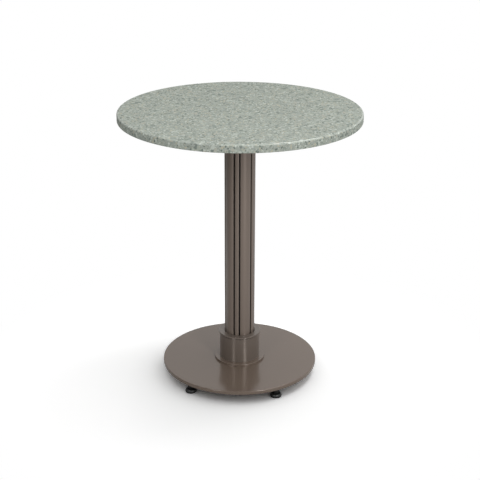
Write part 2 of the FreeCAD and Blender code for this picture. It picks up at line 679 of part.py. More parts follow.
def make_plate():
    body = new_body("base_plate", plate_underside, Sizes.glide_phase)
    radius = Sizes.plate_diameter / 2
    revolve(body, "plate", tube_points(rod_hole_radius, radius, ZERO, Sizes.plate_thickness))
    soften(body, "plate_upper_edge", "Chamfer", Sizes.plate_edge_chamfer, rim(radius, Sizes.plate_thickness))
    soften(body, "plate_lower_edge", "Chamfer", Sizes.plate_edge_chamfer, rim(radius, ZERO))
    sketch = new_sketch(body, "stud_hole_outline", "XY_Plane")
    circle(sketch, Sizes.stud_diameter / 2 + Sizes.stud_gap, glide_reach)
    hole = pocket(body, sketch, "stud_hole", Sizes.stud_plate_depth + Sizes.stud_end_gap)
    ring_of(body, "stud_holes", [hole], Sizes.glide_count)
    turn = Sizes.flange_screw_phase - Sizes.glide_phase
    screw_sketch = new_sketch(body, "flange_hole_outline", "XY_Plane", turn=turn)
    circle(screw_sketch, Sizes.flange_screw_diameter / 2 + Sizes.flange_screw_gap, flange_screw_reach)
    screw_hole = pocket(body, screw_sketch, "flange_hole", Sizes.plate_thickness)
    ring_of(body, "flange_holes", [screw_hole], Sizes.flange_screw_count)

    def countersink(edge):
        curve = edge.Curve
        if not isinstance(curve, Part.Circle):
            return False
        far = math.hypot(curve.Center.x, curve.Center.y)
        return close(curve.Center.z, 0) and close(far, flange_screw_reach.value)

    sink = (Sizes.flange_screw_head_diameter - Sizes.flange_screw_diameter) / 2
    soften(body, "countersinks", "Chamfer", sink, countersink)
    return body


def make_flange_screws():
    body = new_body("flange_screws", plate_underside, Sizes.flange_screw_phase)
    middle = flange_screw_reach
    head = middle + Sizes.flange_screw_head_diameter / 2
    shank = middle + Sizes.flange_screw_diameter / 2
    cone = (Sizes.flange_screw_head_diameter - Sizes.flange_screw_diameter) / 2
    tip = Sizes.plate_thickness + Sizes.flange_screw_bite
    screw = revolve(body, "screw", [
        (middle, ZERO), (head, ZERO), (shank, cone), (shank, tip), (middle, tip)], about=middle)
    socket = new_sketch(body, "socket_outline", "XY_Plane")
    hexagon(socket, Sizes.flange_screw_socket, middle)
    hollow = pocket(body, socket, "socket", Sizes.flange_screw_socket_depth)
    ring_of(body, "screws", [screw, hollow], Sizes.flange_screw_count)
    return body


# Levelling glides: bush under the plate, stud with a hexagon, pad

def glide_place(number):
    angle = Sizes.glide_phase + full_turn / Sizes.glide_count * number
    return glide_reach * cosine(angle), glide_reach * sine(angle)


def make_bush(number):
    x, y = glide_place(number)
    body = new_body(f"glide_bush_{number + 1}", bush_underside, x=x, y=y)
    inner = Sizes.stud_diameter / 2 + Sizes.stud_gap
    outer = Sizes.bush_diameter / 2
    revolve(body, "bush", tube_points(inner, outer, ZERO, Sizes.bush_height))
    soften(body, "bush_lower_edge", "Chamfer", Sizes.bush_chamfer, rim(outer, ZERO))
    return body


def make_glide_screw(number):
    """Snap bead and neck inside the pad, hexagon on the pad, stud in the bush."""
    x, y = glide_place(number)
    body = new_body(f"glide_screw_{number + 1}", pad_top - Sizes.neck_height - Sizes.bead_height, x=x, y=y)
    bead = Sizes.bead_diameter / 2
    neck = Sizes.neck_diameter / 2
    hexagon_foot = Sizes.bead_height + Sizes.neck_height
    sketch = new_sketch(body, "hexagon_outline", "XY_Plane", lift=hexagon_foot)
    hexagon(sketch, Sizes.glide_hex_across_flats)
    pad(body, sketch, "hexagon", Sizes.glide_hex_height)
    stud_foot = hexagon_foot + Sizes.glide_hex_height
    hexagon_corner_cut(body, "hexagon_upper_corners", Sizes.glide_hex_across_flats, stud_foot, upper=True)
    stud = Sizes.stud_diameter / 2
    tip = stud_foot + Sizes.bush_height + Sizes.stud_plate_depth
    chamfer = Sizes.stud_chamfer
    revolve(body, "stud", [
        (ZERO, ZERO), (bead, ZERO), (bead, Sizes.bead_height), (neck, Sizes.bead_height),
        (neck, hexagon_foot), (stud, hexagon_foot), (stud, tip - chamfer), (stud - chamfer, tip),
        (ZERO, tip)])
    return body


def make_pad(number):
    x, y = glide_place(number)
    body = new_body(f"glide_pad_{number + 1}", x=x, y=y)
    outside = Sizes.pad_diameter / 2
    mouth = Sizes.neck_diameter / 2 + Sizes.socket_gap
    hollow = Sizes.bead_diameter / 2 + Sizes.socket_gap
    ledge = Sizes.pad_height - Sizes.neck_height + Sizes.socket_end_gap
    floor = Sizes.pad_height - Sizes.neck_height - Sizes.bead_height - Sizes.socket_end_gap
    revolve(body, "pad", [
        (ZERO, ZERO), (outside, ZERO), (outside, Sizes.pad_height), (mouth, Sizes.pad_height),
        (mouth, ledge), (hollow, ledge), (hollow, floor), (ZERO, floor)])
    soften(body, "pad_shoulder", "Fillet", Sizes.pad_shoulder_radius, rim(outside, Sizes.pad_height))
    soften(body, "pad_sole_edge", "Fillet", Sizes.pad_sole_radius, rim(outside, ZERO))
    return body


pieces = [
    make_top(), make_inserts(), make_top_screws(), make_top_washers(), make_spider(),
    make_column(),
    make_rod(),
    make_rod_washer("tie_rod_top_washer", recess_floor),
    make_nut("tie_rod_top_nut", recess_floor + Sizes.rod_washer_thickness),
    make_rod_washer("tie_rod_bottom_washer", plate_underside - Sizes.rod_washer_thickness),
    make_nut("tie_rod_bottom_nut", plate_underside - Sizes.rod_washer_thickness - Sizes.nut_height),
    make_cap(), make_tube(), make_flange(), make_spigot(),
    make_plate(), make_flange_screws(),
]
for glide in range(round(Sizes.glide_count.value)):
    pieces += [make_bush(glide), make_glide_screw(glide), make_pad(glide)]
doc.recompute()

for item in doc.Objects:
    if {"Invalid", "Error"} & set(item.State):
        raise RuntimeError(f"{item.Label} did not build")
for piece in pieces:
    if piece.Shape.isNull() or not piece.Shape.isValid():
        raise RuntimeError(f"{piece.Label} is not a sound solid")

os.makedirs("parts", exist_ok=True)
for piece in pieces:
    piece.Shape.exportStep(f"parts/{piece.Label}.step")
    box = piece.Shape.BoundBox
    print(f"{piece.Label}: {len(piece.Shape.Solids)} solid(s), {piece.Shape.Volume:.0f} mm3, "
          f"z {box.ZMin:.2f} to {box.ZMax:.2f}, across {box.XLength:.2f} by {box.YLength:.2f}")
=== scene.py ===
import math

import bmesh
import bpy
from mathutils import Matrix, Vector


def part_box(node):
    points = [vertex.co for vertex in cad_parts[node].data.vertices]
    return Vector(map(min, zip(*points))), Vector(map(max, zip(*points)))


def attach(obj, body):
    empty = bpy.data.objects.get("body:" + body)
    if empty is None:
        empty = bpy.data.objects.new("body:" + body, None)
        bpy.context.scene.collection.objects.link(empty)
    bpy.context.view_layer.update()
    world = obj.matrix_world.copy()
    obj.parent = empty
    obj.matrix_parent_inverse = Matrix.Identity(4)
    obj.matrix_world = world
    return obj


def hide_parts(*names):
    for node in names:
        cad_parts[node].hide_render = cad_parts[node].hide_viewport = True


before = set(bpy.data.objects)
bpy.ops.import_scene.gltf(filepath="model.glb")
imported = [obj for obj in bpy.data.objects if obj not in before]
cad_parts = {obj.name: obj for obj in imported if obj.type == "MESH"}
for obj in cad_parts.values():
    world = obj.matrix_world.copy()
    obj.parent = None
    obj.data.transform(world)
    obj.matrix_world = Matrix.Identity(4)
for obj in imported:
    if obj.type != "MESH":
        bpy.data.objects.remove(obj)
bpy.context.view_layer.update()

# Round terrazzo table on a fluted bronze column with a collar, a flat round base and five levelling glides.
# Metres, +Z up, photographed side towards -Y. Overall sizes come from the CAD nodes' boxes; the sizes below are
# those that no box gives.

MM = 0.001
FULL_TURN = 2 * math.pi
SAME_POINT = MM / 1000

# Steps of a full turn, from wide edges to threads, and then of the column's curves
FINE_STEPS = 240
ROUND_STEPS = 96
SMALL_STEPS = 48
THREAD_STEPS = 28
REED_STEPS = 28
GROOVE_FLOOR_STEPS = 4

# Width of the turned rim round each filled flat face
SLAB_RIM = 10 * MM
PLATE_RIM = 4 * MM
FLANGE_RIM = 2 * MM

# Rounds of worked edges
SHEET_EDGE_ROUND = 0.8 * MM
BROKEN_EDGE_ROUND = 0.4 * MM
FINE_EDGE_ROUND = 0.3 * MM
CASTING_ROUND = 1.2 * MM

# Slab
TOP_EDGE_ROUND = 5 * MM
LOWER_EDGE_ROUND = 1.5 * MM
INSERTS = 5
INSERT_REACH = 125 * MM
INSERT_HOLE = 5.1 * MM
INSERT_HOLE_DEPTH = 13 * MM

# Column
REED_PHASE = math.radians(294.3)
REED_PAIRS = 5
REED_CREST = 38.7 * MM
GROOVE_FLOOR = 27.7 * MM
COLUMN_BORE = 24 * MM
GROOVE_WIDTH = 3.6 * MM
GROOVE_MOUTH_ROUND = 0.8 * MM
WIDE_REED_ANGLE = math.radians(50.3)
WIDE_REED_CROWN = 25 * MM
NARROW_REED_CROWN = 9 * MM

# Collar
CAP_GAP = 0.5 * MM
COLLAR_WALL = 3 * MM
SKIRT_GAP = 0.1 * MM
LIP_REVEAL = 2.8 * MM
LIP_REVEAL_DEPTH = 1.6 * MM
FLANGE_BORE_INSET = 1.85 * MM

# Base plate and the screws into the flange
PLATE_CHAMFER = 1 * MM
PLATE_EDGE_ROUND = 0.6 * MM
ROD_HOLE = 6.5 * MM
FLANGE_SCREWS = 5
FLANGE_SCREW_REACH = 57 * MM
FLANGE_SCREW_PHASE = math.radians(48)
FLANGE_SCREW_HOLE = 2.75 * MM
FLANGE_TAPPED_HOLE = 2.55 * MM
FLANGE_TAPPED_DEPTH = 4 * MM
COUNTERSINK = 2.5 * MM

# Glides
GLIDES = 5
GLIDE_REACH = 184 * MM
GLIDE_PHASE = math.radians(12)
STUD_RADIUS = 4 * MM
STUD_PITCH = 1.25 * MM
STUD_HOLE = 4.05 * MM
STUD_HOLE_DEPTH = 6 * MM
STUD_CHAMFER = 1 * MM
STUD_EASE = 0.2 * MM
BUSH_CHAMFER = 1 * MM
WELD_LEG = 2.2 * MM
PAD_MOUTH = 4.38 * MM
PAD_HOLLOW = 5.58 * MM
PAD_LEDGE = 8 * MM
PAD_FLOOR = 3.6 * MM
PAD_FOOT_ROUND = 1.5 * MM
PAD_SHOULDER_ROUND = 6 * MM

# Tie rod
ROD_RADIUS = 6 * MM
ROD_PITCH = 1.75 * MM
ROD_THREAD = 36 * MM
ROD_CHAMFER = 1.2 * MM

# Depth of a screw thread and half the width of its crest, as shares of its pitch
THREAD_DEPTH = 0.6
THREAD_HALF_CREST = 0.07


def level(node, end):
    """The height of a CAD node's lower (0) or upper (1) end."""
    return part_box(node)[end].z


def reach(node):
    """Half the width of a round CAD node."""
    low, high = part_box(node)
    return (high.x - low.x) / 2


# Shapes

def outline_edges(bm, points, closed=True):
    """Adds a line of edges through the points, and gives back their vertices."""
    verts = [bm.verts.new(point) for point in points]
    following = verts[1:] + verts[:1] if closed else verts[1:]
    for pair in zip(verts, following):
        bm.edges.new(pair)
    return verts


def turned(outline, rounds=(), centre=(0, 0), steps=ROUND_STEPS, closed=True):
    """A turned surface about an upright line, from its outline of (radius, height).

    Each of the rounds is the number of an outline's corner, the size of its round and its segments."""
    bm = bmesh.new()
    x, y = centre
    closed = closed and outline[0][0] > 0
    corners = outline_edges(bm, [(x + radius, y, height) for radius, height in outline], closed)
    for corner, size, segments in rounds:
        bmesh.ops.bevel(bm, geom=[corners[corner]], offset=size, offset_type="OFFSET", segments=segments,
                        profile=0.5, affect="VERTICES", material=-1)
    bmesh.ops.spin(bm, geom=bm.verts[:] + bm.edges[:], cent=(x, y, 0), axis=(0, 0, 1), angle=FULL_TURN,
                   steps=steps, use_merge=True)
    return weld(bm)


def tube(inner, outer, bottom, top):
    """The outline of a plain ring, for turned."""
    return [(inner, bottom), (outer, bottom), (outer, top), (inner, top)]


def flat(height, *rings):
    """A level face inside the first ring and outside the others, each a radius, a centre and its steps."""
    bm = bmesh.new()
    for radius, centre, steps in rings:
        bmesh.ops.create_circle(bm, radius=radius, segments=steps,
                                matrix=Matrix.Translation((*centre, height)))
    bmesh.ops.triangle_fill(bm, edges=bm.edges[:], use_beauty=True, use_dissolve=False, normal=(0, 0, 1))
    return bm


def weld(bm):
    """Joins vertices that lie together and turns every face outwards."""
    bmesh.ops.remove_doubles(bm, verts=bm.verts, dist=SAME_POINT)
    bmesh.ops.recalc_face_normals(bm, faces=bm.faces)
    return bm


def joined(*shapes):
    """One shape from several that meet at their rings."""
    whole = bmesh.new()
    for bm in shapes:
        mesh = bpy.data.meshes.new("shape")
        bm.to_mesh(mesh)
        bm.free()
        whole.from_mesh(mesh)
        bpy.data.meshes.remove(mesh)
    return weld(whole)


def ring_places(count, away, phase):
    """The places of a ring of things round the table's axis."""
    angles = [phase + FULL_TURN / count * number for number in range(count)]
    return [(away * math.cos(angle), away * math.sin(angle)) for angle in angles]


def copied(node):
    """A CAD node's own shape, its loose triangles joined and its flats made whole."""
    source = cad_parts[node]
    bm = bmesh.new()
    bm.from_mesh(source.data)
    bmesh.ops.transform(bm, matrix=source.matrix_world, verts=bm.verts)
    bmesh.ops.remove_doubles(bm, verts=bm.verts, dist=SAME_POINT)
    bmesh.ops.dissolve_limit(bm, angle_limit=math.radians(0.3), verts=bm.verts, edges=bm.edges)
    bmesh.ops.recalc_face_normals(bm, faces=bm.faces)
    return bm


def eased(bm, size, segments=2, sharpest=35):
    """Rounds off every edge that turns by more than an angle."""
    def sharp(edge):
        return len(edge.link_faces) == 2 and edge.calc_face_angle() > math.radians(sharpest)

    bmesh.ops.bevel(bm, geom=[edge for edge in bm.edges if sharp(edge)], offset=size, offset_type="OFFSET",
                    segments=segments, profile=0.5, affect="EDGES", clamp_overlap=True, material=-1)
    return bm


def cut_level(bm, height, keep_above, cap=True):
    """Cuts a shape at a height, and closes the cut."""
    side = -1 if keep_above else 1
    cut = bmesh.ops.bisect_plane(bm, geom=bm.verts[:] + bm.edges[:] + bm.faces[:], dist=MM / 10000,
                                 plane_co=(0, 0, height), plane_no=(0, 0, side), clear_outer=True)
    rim = [item for item in cut["geom_cut"] if isinstance(item, bmesh.types.BMEdge)]
    if cap:
        bmesh.ops.edgeloop_fill(bm, edges=rim)


def thread(radius, pitch, bottom, top, centre=(0, 0), tip=0.0, foot=0.0):
    """A right-handed screw thread with flat ends; tip and foot are its upper and lower chamfers."""
    x, y = centre
    bm = bmesh.new()
    root = radius - THREAD_DEPTH * pitch
    start = bottom - pitch
    crest = start + pitch / 2
    half_crest = THREAD_HALF_CREST * pitch
    outline = [(root, start), (radius, crest - half_crest), (radius, crest + half_crest),
               (root, start + pitch)]
    outline_edges(bm, [(x + away, y, height) for away, height in outline], closed=False)
    turns = math.ceil((top - start) / pitch) + 1
    bmesh.ops.spin(bm, geom=bm.verts[:] + bm.edges[:], cent=(x, y, 0), axis=(0, 0, 1),
                   dvec=(0, 0, pitch / THREAD_STEPS), angle=turns * FULL_TURN, steps=turns * THREAD_STEPS)
    bmesh.ops.remove_doubles(bm, verts=bm.verts, dist=SAME_POINT)
    cut_level(bm, bottom, keep_above=True)
    cut_level(bm, top, keep_above=False)
    for vert in bm.verts:
        away = math.hypot(vert.co.x - x, vert.co.y - y)
        allowed = min(radius - max(0, vert.co.z - (top - tip)), radius - max(0, bottom + foot - vert.co.z))
        if away > allowed:
            vert.co.x = x + (vert.co.x - x) * allowed / away
            vert.co.y = y + (vert.co.y - y) * allowed / away
    return weld(bm)


def piece(name, bm, material, body="root", replaces=(), crease=30):
    """Makes a shape a piece of the table, smooth up to the crease angle, on its body and for its nodes."""
    weld(bm)
    for face in bm.faces:
        face.smooth = True
    for edge in bm.edges:
        edge.smooth = edge.calc_face_angle(math.pi) < math.radians(crease)
    mesh = bpy.data.meshes.new(name)
    bm.to_mesh(mesh)
    bm.free()
    mesh.materials.append(material)
    obj = bpy.data.objects.new(name, mesh)
    bpy.context.scene.collection.objects.link(obj)
    flats = obj.modifiers.new("flat_faces_stay_flat", "WEIGHTED_NORMAL")
    flats.keep_sharp = True
    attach(obj, body)
    if replaces:
        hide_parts(*replaces)
    return obj


# Materials

def srgb(text):
    """A colour as the shader wants it, from its hexadecimal sRGB value."""
    channels = [int(text[place:place + 2], 16) / 255 for place in (1, 3, 5)]
    return [c / 12.92 if c <= 0.04045 else ((c + 0.055) / 1.055) ** 2.4 for c in channels] + [1]


def add(tree, kind, inputs=None, **settings):
    """Adds a node with its settings; an input is a value, or another node's output to link."""
    node = tree.nodes.new(kind)
    for name, value in settings.items():
        setattr(node, name, value)
    for name, value in (inputs or {}).items():
        if isinstance(value, bpy.types.NodeSocket):
            tree.links.new(value, node.inputs[name])
        else:
            node.inputs[name].default_value = value
    return node


def new_material(name):
    """An empty material, and its node tree."""
    material = bpy.data.materials.new(name)
    material.use_nodes = True
    material.node_tree.nodes.clear()
    return material, material.node_tree


def surface(tree, shader):
    """Makes a shader the material's surface."""
    add(tree, "ShaderNodeOutputMaterial", {"Surface": shader.outputs[0]})


def make_terrazzo():
    """Honed and sealed cement terrazzo: crushed marble in a grey-green binder, cut through on every face."""
    material, tree = new_material("terrazzo_honed_sealed")
    point = add(tree, "ShaderNodeTexCoord").outputs["Object"]
    wobble = add(tree, "ShaderNodeTexNoise", {"Vector": point, "Scale": 260.0, "Detail": 2.0})
    shifted = add(tree, "ShaderNodeVectorMath", {0: wobble.outputs["Color"], 1: (0.0022, 0.0022, 0.0022)},
                  operation="MULTIPLY")
    bent = add(tree, "ShaderNodeVectorMath", {0: point, 1: shifted.outputs[0]}).outputs[0]
    sand = add(tree, "ShaderNodeTexNoise", {"Vector": point, "Scale": 900.0, "Detail": 3.0})
    binder = add(tree, "ShaderNodeValToRGB", {"Fac": sand.outputs[0]})
    binder.color_ramp.elements[0].position = 0.3
    binder.color_ramp.elements[0].color = srgb("#7E847E")
    binder.color_ramp.elements[1].position = 0.7
    binder.color_ramp.elements[1].color = srgb("#949A92")
    colour = binder.outputs[0]
    # Chips about 2, 4 and 8 mm across, the smallest first, so that the larger ones cover them. Each row is the
    # size, the share of cells with a chip, the binder left round it (a share of the cell) and the marble's colours
    for size, share, gap, palette in (
            (2.2, 0.55, 0.10, ("#6A726A", "#8C938A", "#A4ABA1", "#7E8079", "#99998B")),
            (4.4, 0.45, 0.06, ("#7A8179", "#969D93", "#A9AFA7", "#5E6660", "#9C9A89")),
            (7.6, 0.23, 0.04, ("#828983", "#9FA59D", "#8C9288", "#6B736D", "#95968C"))):
        scale = 1 / (size * MM)
        cell = add(tree, "ShaderNodeTexVoronoi", {"Vector": bent, "Scale": scale})
        edge = add(tree, "ShaderNodeTexVoronoi", {"Vector": bent, "Scale": scale}, feature="DISTANCE_TO_EDGE")
        parts = add(tree, "ShaderNodeSeparateColor", {0: cell.outputs["Color"]})
        chosen = add(tree, "ShaderNodeMath", {0: parts.outputs[0], 1: share}, operation="LESS_THAN")
        inside = add(tree, "ShaderNodeMapRange", {"Value": edge.outputs["Distance"], "From Min": gap,
                                                  "From Max": gap + 0.05})
        mask = add(tree, "ShaderNodeMath", {0: chosen.outputs[0], 1: inside.outputs[0]}, operation="MULTIPLY")
        chips = add(tree, "ShaderNodeValToRGB", {"Fac": parts.outputs[1]})
        ramp = chips.color_ramp
        ramp.interpolation = "CONSTANT"
        for place, text in enumerate(palette):
            stop = ramp.elements[place] if place < 2 else ramp.elements.new(place / len(palette))
            stop.position = place / len(palette)
            stop.color = srgb(text)
        colour = add(tree, "ShaderNodeMix", {0: mask.outputs[0], 6: colour, 7: chips.outputs[0]},
                     data_type="RGBA").outputs[2]
    # The rounded arris carries a faint painted highlight, its colour pulled a little towards pale, and is so
    # smooth that it glints; the flats on both sides stay matt
    place = add(tree, "ShaderNodeSeparateXYZ", {0: point})
    level_point = add(tree, "ShaderNodeVectorMath", {0: point, 1: (1, 1, 0)}, operation="MULTIPLY")
    away = add(tree, "ShaderNodeVectorMath", {0: level_point.outputs[0]}, operation="LENGTH")
    edge = reach("terrazzo_top")
    top = level("terrazzo_top", 1)
    outside = add(tree, "ShaderNodeMapRange", {"Value": away.outputs["Value"], "From Min": edge - 4.2 * MM,
                                               "From Max": edge - 2.5 * MM})
    upper = add(tree, "ShaderNodeMapRange", {"Value": place.outputs[2], "From Min": top - 4 * MM,
                                             "From Max": top - 2.5 * MM})
    arris = add(tree, "ShaderNodeMath", {0: outside.outputs[0], 1: upper.outputs[0]}, operation="MULTIPLY")
    # Painted highlight along the arris: its colour a tenth of the way to a pale tone
    painted_highlight = add(tree, "ShaderNodeMath", {0: arris.outputs[0], 1: 0.1}, operation="MULTIPLY")
    colour = add(tree, "ShaderNodeMix", {0: painted_highlight.outputs[0], 6: colour, 7: srgb("#D3D9CD")},
                 data_type="RGBA").outputs[2]
    smear = add(tree, "ShaderNodeTexNoise", {"Vector": point, "Scale": 14.0, "Detail": 3.0})
    rough = add(tree, "ShaderNodeMapRange", {"Value": smear.outputs[0], "To Min": 0.74, "To Max": 0.82})
    gloss = add(tree, "ShaderNodeMix", {0: arris.outputs[0], 2: rough.outputs[0], 3: 0.1})
    shine = add(tree, "ShaderNodeMapRange", {"Value": arris.outputs[0], "To Min": 0.15, "To Max": 0.5})
    shader = add(tree, "ShaderNodeBsdfPrincipled", {
        "Base Color": colour, "Roughness": gloss.outputs[0], "IOR": 1.5,
        "Specular IOR Level": shine.outputs[0]})
    surface(tree, shader)
    return material


def make_bronze(name, colour, roughness, coat, metal=0.35, coat_roughness=0.12, grain=0.0, painted_shade_radius=0.0):
    """Satin bronze-brown metallic lacquer on metal: soft wide glow, thin clear gloss on top.

    Grain draws the glow out up and down into narrow streaks, as on metal that was ground round its girth.
    A painted shade radius darkens the colour and thins the coat from there inwards: painted shade in the column's
    narrow grooves."""
    material, tree = new_material(name)
    point = add(tree, "ShaderNodeTexCoord").outputs["Object"]
    # Metal pigment is finer than the picture can show, so it's drawn at 1.2 mm and only just there
    flake = add(tree, "ShaderNodeTexNoise", {"Vector": point, "Scale": 1 / (1.2 * MM), "Detail": 2.0})
    tint = add(tree, "ShaderNodeMix", {0: flake.outputs[0], 6: [c * 0.94 for c in srgb(colour)[:3]] + [1],
                                       7: [c * 1.06 for c in srgb(colour)[:3]] + [1]}, data_type="RGBA")
    cloud = add(tree, "ShaderNodeTexNoise", {"Vector": point, "Scale": 9.0, "Detail": 4.0})
    rough = add(tree, "ShaderNodeMapRange", {"Value": cloud.outputs[0], "To Min": roughness - 0.03,
                                             "To Max": roughness + 0.03})
    peel = add(tree, "ShaderNodeBump", {"Height": flake.outputs[0], "Strength": 0.04, "Distance": 0.1 * MM})
    colour_here, coat_here = tint.outputs[2], coat
    if painted_shade_radius:
        level_point = add(tree, "ShaderNodeVectorMath", {0: point, 1: (1, 1, 0)}, operation="MULTIPLY")
        away = add(tree, "ShaderNodeVectorMath", {0: level_point.outputs[0]}, operation="LENGTH")
        # Painted shade: inwards from that radius the colour turns near black and the coat fades, standing in for
        # the shade in the grooves
        outside_painted_shade = add(tree, "ShaderNodeMapRange", {
            "Value": away.outputs["Value"], "From Min": painted_shade_radius - 1.2 * MM, "From Max": painted_shade_radius})
        colour_here = add(tree, "ShaderNodeMix", {0: outside_painted_shade.outputs[0], 6: srgb("#1E1A17"),
                                                  7: tint.outputs[2]}, data_type="RGBA").outputs[2]
        coat_here = add(tree, "ShaderNodeMath", {0: outside_painted_shade.outputs[0], 1: coat},
                        operation="MULTIPLY").outputs[0]
    girth = add(tree, "ShaderNodeVectorMath", {0: (0, 0, 1), 1: point}, operation="CROSS_PRODUCT")
    shader = add(tree, "ShaderNodeBsdfPrincipled", {
        "Base Color": colour_here, "Metallic": metal, "Roughness": rough.outputs[0],
        "Anisotropic": grain, "Anisotropic Rotation": 0.25, "Tangent": girth.outputs[0],
        "Coat Weight": coat_here, "Coat Roughness": coat_roughness, "Normal": peel.outputs[0]})
    surface(tree, shader)
    return material


def make_zinc():
    """Bright zinc plate on steel: bluish silver with faint clouds in its gloss."""
    material, tree = new_material("zinc_plated_steel")
    point = add(tree, "ShaderNodeTexCoord").outputs["Object"]
    cloud = add(tree, "ShaderNodeTexNoise", {"Vector": point, "Scale": 320.0, "Detail": 3.0})
    tint = add(tree, "ShaderNodeMix", {0: cloud.outputs[0], 6: srgb("#A9ADB2"), 7: srgb("#BFC2C4")},
               data_type="RGBA")
    rough = add(tree, "ShaderNodeMapRange", {"Value": cloud.outputs[0], "To Min": 0.24, "To Max": 0.38})
    shader = add(tree, "ShaderNodeBsdfPrincipled", {
        "Base Color": tint.outputs[2], "Metallic": 1.0, "Roughness": rough.outputs[0]})
    surface(tree, shader)
    return material


def make_black_oxide():
    """Black-oxide finish on steel: near-black with a dull oily gloss and faint brown clouds."""
    material, tree = new_material("black_oxide_steel")
    point = add(tree, "ShaderNodeTexCoord").outputs["Object"]
    cloud = add(tree, "ShaderNodeTexNoise", {"Vector": point, "Scale": 1 / (3 * MM), "Detail": 3.0})
    tint = add(tree, "ShaderNodeMix", {0: cloud.outputs[0], 6: srgb("#17181A"), 7: srgb("#26231F")},
               data_type="RGBA")
    rough = add(tree, "ShaderNodeMapRange", {"Value": cloud.outputs[0], "To Min": 0.32, "To Max": 0.46})
    shader = add(tree, "ShaderNodeBsdfPrincipled", {
        "Base Color": tint.outputs[2], "Metallic": 0.6, "Roughness": rough.outputs[0]})
    surface(tree, shader)
    return material


def make_brass():
    """Machined brass: warm yellow, fine turning marks."""
    material, tree = new_material("machined_brass")
    point = add(tree, "ShaderNodeTexCoord").outputs["Object"]
    marks = add(tree, "ShaderNodeTexWave", {"Vector": point, "Scale": 1 / (1.0 * MM), "Distortion": 1.0},
                bands_direction="Z")
    rough = add(tree, "ShaderNodeMapRange", {"Value": marks.outputs[1], "To Min": 0.25, "To Max": 0.4})
    shader = add(tree, "ShaderNodeBsdfPrincipled", {
        "Base Color": srgb("#C9A45C"), "Metallic": 1.0, "Roughness": rough.outputs[0]})
    surface(tree, shader)
    return material


def make_powder_coat():
    """Black fine-textured powder coat on cast aluminium: matt, slightly pebbled."""
    material, tree = new_material("black_powder_coat")
    point = add(tree, "ShaderNodeTexCoord").outputs["Object"]
    pebbles = add(tree, "ShaderNodeTexNoise", {"Vector": point, "Scale": 1 / (0.7 * MM), "Detail": 2.0})
    bump = add(tree, "ShaderNodeBump", {"Height": pebbles.outputs[0], "Strength": 0.35,
                                        "Distance": 0.12 * MM})
    tint = add(tree, "ShaderNodeMix", {0: pebbles.outputs[0], 6: srgb("#1A1A1B"), 7: srgb("#2A2A2B")},
               data_type="RGBA")
    shader = add(tree, "ShaderNodeBsdfPrincipled", {
        "Base Color": tint.outputs[2], "Roughness": 0.55, "Normal": bump.outputs[0]})
    surface(tree, shader)
    return material


def make_polyamide():
    """Moulded black polyamide: near-black, satin, with a faint moulded grain."""
    material, tree = new_material("moulded_black_polyamide")
    point = add(tree, "ShaderNodeTexCoord").outputs["Object"]
    grain = add(tree, "ShaderNodeTexNoise", {"Vector": point, "Scale": 1 / (0.8 * MM), "Detail": 2.0})
    bump = add(tree, "ShaderNodeBump", {"Height": grain.outputs[0], "Strength": 0.12, "Distance": 0.05 * MM})
    rough = add(tree, "ShaderNodeMapRange", {"Value": grain.outputs[0], "To Min": 0.28, "To Max": 0.4})
    shader = add(tree, "ShaderNodeBsdfPrincipled", {
        "Base Color": srgb("#141414"), "Roughness": rough.outputs[0], "IOR": 1.53, "Normal": bump.outputs[0]})
    surface(tree, shader)
    return material


TERRAZZO = make_terrazzo()
# The extrusion carries painted shade inside its grooves, from 36.8 mm off the axis inwards
BRONZE_EXTRUSION = make_bronze("bronze_lacquered_extrusion", "#6F635A", 0.42, 0.27, grain=0.5,
                               painted_shade_radius=36.8 * MM)
BRONZE_COLLAR = make_bronze("bronze_lacquered_collar", "#695F57", 0.3, 0.3, grain=0.85)
BRONZE_STEEL = make_bronze("bronze_lacquered_steel", "#685B51", 0.2, 0.15, metal=0.2, coat_roughness=0.06)
POWDER_COAT = make_powder_coat()
ZINC = make_zinc()
BLACK_OXIDE = make_black_oxide()
BRASS = make_brass()
POLYAMIDE = make_polyamide()

CAD_FINISHES = {"top_inserts": BRASS, "column_spigot": ZINC}
for node, material in CAD_FINISHES.items():
    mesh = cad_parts[node].data
    mesh.materials.clear()
    mesh.materials.append(material)


# Pieces

def make_slab():
    """Terrazzo disc with a rounded upper edge and blind holes for the inserts."""
    radius, bottom, top = reach("terrazzo_top"), level("terrazzo_top", 0), level("terrazzo_top", 1)
    inside = radius - SLAB_RIM
    shell = turned([(inside, bottom), (radius, bottom), (radius, top), (0, top)],
                   [(1, LOWER_EDGE_ROUND, 5), (2, TOP_EDGE_ROUND, 12)], steps=FINE_STEPS, closed=False)
    holes = ring_places(INSERTS, INSERT_REACH, REED_PHASE)
    underside = flat(bottom, (inside, (0, 0), FINE_STEPS),
                     *[(INSERT_HOLE, hole, SMALL_STEPS) for hole in holes])
    depth = bottom + INSERT_HOLE_DEPTH
    bores = [turned([(INSERT_HOLE, bottom), (INSERT_HOLE, depth), (0, depth)], centre=hole, steps=SMALL_STEPS,
                    closed=False) for hole in holes]
    return piece("slab", joined(shell, underside, *bores), TERRAZZO, replaces=["terrazzo_top"])


def make_spider():
    """Cast bracket: every edge and inner corner has the radius that a casting has."""
    spider = eased(copied("top_spider"), CASTING_ROUND, segments=3, sharpest=25)
    piece("cast_spider", spider, POWDER_COAT, replaces=["top_spider"])


def make_small_parts():
    """Washers, nuts and screws; the number after each is how far its edges are broken, in millimetres."""
    for node, ease in (("top_screws", 0.25), ("top_screw_washers", 0.2), ("tie_rod_top_washer", 0.3),
                       ("tie_rod_top_nut", 0.25), ("tie_rod_bottom_washer", 0.3),
                       ("tie_rod_bottom_nut", 0.25), ("flange_screws", 0.15)):
        piece(f"{node}_eased", eased(copied(node), ease * MM), ZINC, replaces=[node])


